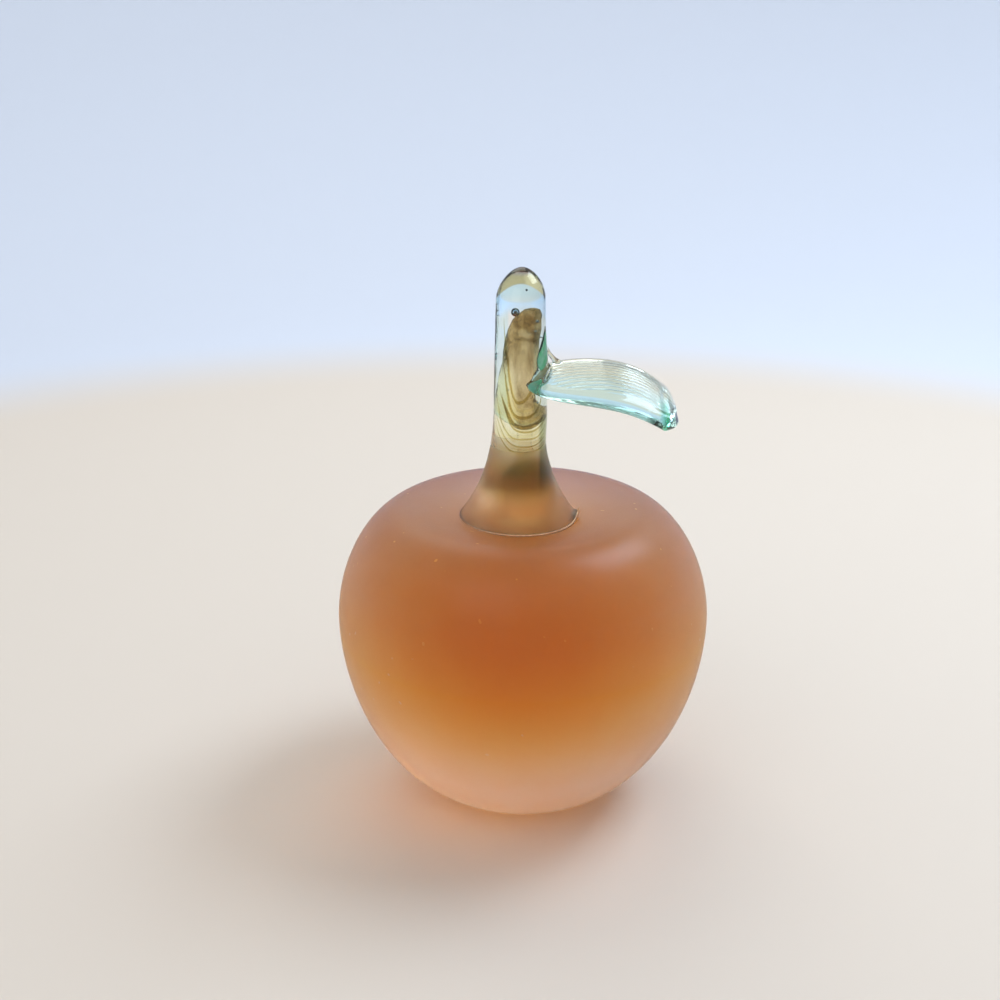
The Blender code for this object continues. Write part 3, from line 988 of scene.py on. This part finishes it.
# %% Straw glass for the stalk, clear above and etched below
FROST_LINE = 83.3 * MM
tree, shader = new_finish(stalk, "straw_stalk_glass")
fill(shader, {"Specular Tint": (1.0, 0.90, 0.55, 1)})
place = object_place(tree)
axes = split_up(tree, place)
height = axes["Z"]
across = calc(tree, "ADD", axes["X"], STALK_LEFT)
edge = calc(tree, "ADD", height, times(tree, noise_at(tree, place, 160), 1.2 * MM))
etched = span(tree, edge, FROST_LINE + 0.1 * MM, FROST_LINE + 1.3 * MM, 1.0, 0.0)
grain = noise_at(tree, place, 2600)
above_seam = span(tree, height, 66.1 * MM, 66.4 * MM, 0.45, 1.0)
satin = times(tree, span(tree, grain, 0.3, 0.7, 0.36, 0.46), above_seam)
roughness = calc(tree, "ADD", times(tree, etched, satin), 0.012)
tree.links.new(roughness, shader.inputs["Roughness"])
tint_inside(tree, (0.76, 0.84, 0.72), 18)

# %% [markdown]
# ## Tints and painted light in the straw glass
# The tints are laid one over the other, from the whole stalk to its smallest part. Each share is a
# product of spans: one across the stalk and one up it. A drawn-out noise in the bump makes the skin
# run in long streaks, as pulled glass does.

# %% Tint the stalk, and paint light on the strips, the cap and the foot
# The warm stops at the foot in this ramp are painted light: the orange of the fruit shining up into it.
tints_and_painted_light = ramp(tree, span(tree, height, 64 * MM, 124 * MM, kind="LINEAR"), [
    (0.03, (0.98, 0.80, 0.54)),
    (0.12, (0.98, 0.84, 0.52)),
    (0.20, (0.86, 0.96, 0.50)),
    (0.26, (0.88, 0.96, 0.52)),
    (0.30, (0.86, 0.82, 0.60)),
    (0.33, (0.92, 0.88, 0.56)),
    (0.40, (0.95, 0.94, 0.72)),
    (0.55, (1.0, 1.0, 1.0)),
])
# A green band at the left edge, and a dark band low on the right edge.
green_left_edge = times(tree, span(tree, across, -4.3 * MM, -5.2 * MM),
                  span(tree, height, 96 * MM, 104 * MM, 0.0, 0.8))
low_right = times(tree, span(tree, height, 93 * MM, 90.5 * MM, 0.0, 0.9),
                  span(tree, height, 73 * MM, 79 * MM))
dark_right_edge = times(tree, span(tree, across, 3.6 * MM, 4.5 * MM), low_right)
# Painted reflection: the cool strips beside the thread and the band below the cap stand for the cool
# wall seen in the glass.
off_axis = calc(tree, "ABSOLUTE", across, 0.0)
painted_reflection_strips = times(tree, span(tree, off_axis, 2.4 * MM, 3.0 * MM),
               span(tree, height, 90.2 * MM, 91.2 * MM))
painted_cool_reflection = calc(tree, "MAXIMUM", span(tree, height, 112.5 * MM, 114.5 * MM), painted_reflection_strips)
# The cap is golden brown, and its right side is painted lighter: painted light from the window at the
# right.
off_middle = calc(tree, "DIVIDE", across, 5.2 * MM)
cap_line = times(tree, times(tree, off_middle, off_middle), 3.2 * MM)
capped = span(tree, calc(tree, "ADD", height, cap_line), 118.9 * MM, 119.3 * MM)
cap_painted_lit_right = span(tree, across, 0.2 * MM, 1.6 * MM)
cap_color_and_painted_light = blend_colors(tree, cap_painted_lit_right, (0.42, 0.31, 0.10), (0.84, 0.64, 0.24))
cap_top = span(tree, height, 120.3 * MM, 121.3 * MM)
cap_color_and_painted_light = blend_colors(tree, cap_top, cap_color_and_painted_light, (0.32, 0.26, 0.26))
# Painted light on the foot: it is painted warm for the fruit's light in it, and its sides are painted
# paler where they catch light.
foot = span(tree, reach_from_stalk(tree, place), 8.5 * MM, 11.5 * MM)
foot_painted_light_sides = times(tree, foot, span(tree, off_axis, 5.0 * MM, 10.0 * MM))
for share, color in (
    (green_left_edge, (0.26, 0.56, 0.44)),
    (dark_right_edge, (0.10, 0.18, 0.05)),
    (painted_cool_reflection, (0.64, 0.87, 1.0)),
    (capped, cap_color_and_painted_light),
    (foot, (0.95, 0.73, 0.52)),
    (foot_painted_light_sides, (1.0, 0.97, 0.92)),
):
    tints_and_painted_light = blend_colors(tree, share, tints_and_painted_light, color)
paint(tree, shader, tints_and_painted_light)


def drawn_out(tree, place):
    """The coordinates, stretched along the height as pulled glass is."""
    node = tree.nodes.new("ShaderNodeMapping")
    fill(node, {"Scale": (1.0, 1.0, 0.22)})
    tree.links.new(place, node.inputs["Vector"])
    return node.outputs["Vector"]


bump(tree, shader, noise_at(tree, drawn_out(tree, place), 420), 0.10, 0.25 * MM)

# %% [markdown]
# ## Painted shade in the seeds and painted rim light
# Two small finishes on the stalk are not clear: the dark beads of painted shade in the seeds, and
# the bead round the foot, whose pale orange is painted light. Both are small, so a noise between
# two tones is enough.

# %% Dark glass for the painted shade in the seeds, and painted rim light for the bead
def mottle(tree, shader, scale, dark, bright):
    """Paint with a noise between two tones."""
    pattern = noise_at(tree, object_place(tree), scale)
    paint(tree, shader, ramp(tree, pattern, [(0.35, dark), (0.65, bright)]))


tree, shader = new_finish(stalk, "painted_shade_speck", roughness=0.7, clear=0.0)
mottle(tree, shader, 3000, (0.02, 0.02, 0.02), (0.09, 0.07, 0.05))
# Painted light: the bead's pale orange stands for the light along the rim, and the sliver shares it.
tree, shader = new_finish(stalk, "lip_glass_with_painted_rim_light", roughness=0.6, clear=0.2)
fill(shader, {"Specular IOR Level": 0.2})
mottle(tree, shader, 900, (0.80, 0.46, 0.24), (0.94, 0.64, 0.38))

# %% [markdown]
# ## Olive glass
# The thread was stirred while it was drawn, so its colour runs in long streaks. A distorted noise,
# stretched along the height by a Mapping node, gives these streaks. Blotches darken its top, and
# its left side below is painted paler, as a painted highlight.

# %% Olive glass for the thread
tree, shader = new_finish(thread, "olive_thread_glass", ior=1.05)
place = object_place(tree)
axes = split_up(tree, place)
height = axes["Z"]
swirl = noise_at(tree, drawn_out(tree, place), 420, 3.0, distortion=1.0)
streaks = ramp(tree, swirl, [
    (0.36, (0.32, 0.22, 0.10)),
    (0.46, (0.54, 0.42, 0.23)),
    (0.54, (0.60, 0.50, 0.28)),
    (0.66, (0.86, 0.76, 0.50)),
])
veil = ramp(tree, span(tree, height, 64 * MM, 114 * MM, kind="LINEAR"), [
    (0.10, (1.0, 0.86, 0.62)),
    (0.20, (0.86, 0.72, 0.28)),
    (0.25, (0.30, 0.30, 0.08)),
    (0.31, (0.74, 0.74, 0.38)),
    (0.36, (1.0, 0.98, 0.92)),
    (0.455, (1.0, 0.98, 0.92)),
])
blotch = ramp(tree, noise_at(tree, place, 620), [
    (0.38, (0.42, 0.34, 0.22)),
    (0.47, (0.86, 0.80, 0.66)),
    (0.55, (1.0, 0.98, 0.92)),
    (0.62, (1.0, 1.0, 1.0)),
])
blotched = blend_colors(tree, 1.0, streaks, blotch, "MULTIPLY")
streaks = blend_colors(tree, span(tree, height, 103 * MM, 107 * MM), streaks, blotched)
darker = blend_colors(tree, 1.0, streaks, (0.84, 0.82, 0.74), "MULTIPLY")
streaks = blend_colors(tree, span(tree, height, 99 * MM, 103 * MM), streaks, darker)
# Painted highlight: the left side of the thread below is painted paler.
lit_side = times(tree, span(tree, axes["X"], -0.6 * MM, -2.2 * MM),
                 span(tree, height, 103 * MM, 97 * MM, 0.0, 0.9))
streaks = blend_colors(tree, lit_side, streaks, (1.0, 0.96, 0.66))
shown = span(tree, height, 86.5 * MM, 88.0 * MM)
paint(tree, shader, blend_colors(tree, shown, veil, streaks))
bump(tree, shader, swirl, 0.5, 1.5 * MM)
tint_inside(tree, (0.62, 0.52, 0.20), 34)

# %% [markdown]
# ## Glass for the swags
# The cords alternate between pale straw and olive. Each point carries its tone as an attribute, so
# one material serves all cords.

# %% Straw and olive glass for the swags
def kept_value(tree, name):
    """A value that the points of the mesh carry."""
    node = tree.nodes.new("ShaderNodeAttribute")
    node.attribute_name = name
    return node.outputs["Fac"]


tree, shader = new_finish(swags, "swag_cord_glass", ior=1.02)
tones = ramp(tree, kept_value(tree, "swag_tone"), [
    (0.00, (1.0, 1.0, 0.96)),
    (0.30, (1.0, 0.94, 0.66)),
    (0.80, (0.72, 0.63, 0.32)),
    (1.00, (0.46, 0.34, 0.15)),
])
streaks = span(tree, noise_at(tree, object_place(tree), 400), 0.35, 0.65)
tones = blend_colors(tree, streaks, tones, (0.94, 0.90, 0.80), "MULTIPLY")
paint(tree, shader, tones)

# %% [markdown]
# ## Green glass
# The leaf is nearly clear where it is thin, and green where it is thick or was gathered twice. The
# volume gives the first and the green_depth attribute the second. The furrows between the ribs are
# painted a little darker, as painted shade, and wander as they do under a hand-held tool.

# %% Green glass for the leaf
tree, shader = new_finish(leaf, "green_leaf_glass", roughness=0.05)
fill(shader, {"Specular Tint": (0.55, 0.55, 0.55, 1)})
place = object_place(tree)
tints_and_painted_light = ramp(tree, kept_value(tree, "green_depth"), [
    (0.00, (0.75, 0.75, 0.62)),
    (0.25, (0.73, 0.89, 0.85)),
    (0.60, (0.46, 0.80, 0.66)),
    (1.00, (0.07, 0.46, 0.22)),
])
press = kept_value(tree, "rib_press")
wander = times(tree, noise_at(tree, place, 120), 0.8)
turn_of_wave = times(tree, calc(tree, "ADD", kept_value(tree, "rib_place"), wander), math.pi)
wave = calc(tree, "ABSOLUTE", calc(tree, "SINE", turn_of_wave, 0.0), 0.0)
# Painted shade: the furrows between the ribs are painted darker.
painted_furrow_shade = times(tree, span(tree, wave, 0.0, 0.45, 1.0, 0.0), press)
tints_and_painted_light = blend_colors(tree, painted_furrow_shade, tints_and_painted_light, (0.70, 0.69, 0.60), "MULTIPLY")
paint(tree, shader, tints_and_painted_light)
soft_swell = times(tree, noise_at(tree, place, 300, 1.0), 0.3)
ribbed = calc(tree, "ADD", soft_swell, times(tree, wave, press))
bump(tree, shader, ribbed, 0.5, 0.10 * MM)
tint_inside(tree, (0.34, 0.86, 0.76), 32)

# %% [markdown]
# ## Glass inside the leaf's root
# In the root lie two veins of stiffer glass: an emerald one and a straw one. They let through about
# half of the light and scatter the rest, so they look solid among the clear glass.

# %% Deep green and straw glass inside the leaf's root
for name, dark, bright in (
    ("deep_green_glass", (0.32, 0.92, 0.58), (0.60, 1.0, 0.82)),
    ("straw_web_glass", (0.80, 0.72, 0.46), (0.95, 0.92, 0.70)),
):
    tree, shader = new_finish(leaf, name, ior=1.05, clear=0.55)
    cloud = span(tree, noise_at(tree, object_place(tree), 700, 3.0), 0.35, 0.65)
    paint(tree, shader, blend_colors(tree, cloud, dark, bright))

# %% [markdown]
# ## The studio
# A satin glass takes its whole look from what stands round it, so the studio comes last but matters
# most. The floor is the middle of a wide pale bowl whose rim curves up into a cool wall. A bowl has
# no corner, so it looks the same from every side.

# %% Turn the bowl of the studio
FLOOR_RADIUS = 0.50
FLOOR_BELOW = -0.1 * MM
SWEEP_RADIUS = 0.35
WALL_TOP = 0.42
floor_and_wall = [(radius, FLOOR_BELOW) for radius in (0, 0.15, FLOOR_RADIUS)]
for step in range(1, 13):
    angle = math.pi / 2 * step / 12
    floor_and_wall.append((FLOOR_RADIUS + SWEEP_RADIUS * math.sin(angle),
                           SWEEP_RADIUS * (1 - math.cos(angle))))
floor_and_wall.append((FLOOR_RADIUS + SWEEP_RADIUS, WALL_TOP))
bowl = make_piece(turn(floor_and_wall, 96), "studio_bowl")

tree, shader = new_finish(bowl, "studio_paper", roughness=0.75, clear=0.0)
tone = span(tree, length_of(tree, object_place(tree)), 0.36, 0.47)
paint(tree, shader, blend_colors(tree, tone, (0.66, 0.56, 0.44), (0.61, 0.63, 0.66)))

# %% [markdown]
# ## The light
# A soft sky fills everything, and three lamps shape it. A cool window at the right draws the lilac
# arc on the shoulder, a fill opens the front, and a panel behind lets the fruit glow. One lamp alone
# would leave satin glass flat.

# %% Light it
world = bpy.data.worlds.new("soft_sky")
scene.world = world
world.use_nodes = True
tree = world.node_tree
sky_place = tree.nodes.new("ShaderNodeTexCoord").outputs["Generated"]
glow = ramp(tree, split_up(tree, sky_place)["Z"], [
    (0.25, (0.30, 0.31, 0.33)),
    (0.50, (0.56, 0.59, 0.66)),
    (0.72, (0.76, 0.84, 0.98)),
    (1.00, (0.60, 0.63, 0.68)),
])
tree.links.new(glow, tree.nodes["Background"].inputs["Color"])
fill(tree.nodes["Background"], {"Strength": 1.0})


def softbox(name, place, size, power, color=(1, 1, 1), roll=0.0):
    """A lamp that faces the middle of the object, turned by a roll."""
    lamp = bpy.data.lights.new(name, "AREA")
    lamp.shape = "RECTANGLE"
    lamp.size = size[0]
    lamp.size_y = size[1]
    lamp.energy = power
    lamp.color = color
    holder = bpy.data.objects.new(name, lamp)
    scene.collection.objects.link(holder)
    holder.location = place
    aim = Vector((0, 0, 0.05)) - Vector(place)
    turned = aim.to_track_quat("-Z", "Y") @ Quaternion((0, 0, 1), roll)
    holder.rotation_euler = turned.to_euler()


softbox("window", (0.44, 0.20, 0.66), (0.34, 0.48), 4.6, (0.64, 0.78, 1.0), math.radians(50))
softbox("fill", (-0.30, -0.55, 0.65), (0.5, 0.5), 1.0, (0.78, 0.84, 1.0))
softbox("sky_panel", (-0.10, 0.55, 0.75), (0.6, 0.6), 2.0)
scene.view_settings.view_transform = "Standard"
scene.cycles.max_bounces = 32
scene.cycles.transmission_bounces = 32

# %% [markdown]
# ## Hand the pieces over
# The object has no moving part, so every piece rides on the one body. Each piece stands for a CAD
# solid, which is hidden. The swags have no solid of their own: they belong to the stalk.

# %% Ride and replace
for piece, node, slot in (
    (fruit, "peach_casing", "peach_glass"),
    (heart, "amber_core", "amber_glass"),
    (stalk, "stalk", "straw_glass"),
    (thread, "stalk_thread", "olive_glass"),
    (leaf, "leaf", "green_glass"),
):
    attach(piece, "root")
    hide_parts(node)
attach(swags, "root")
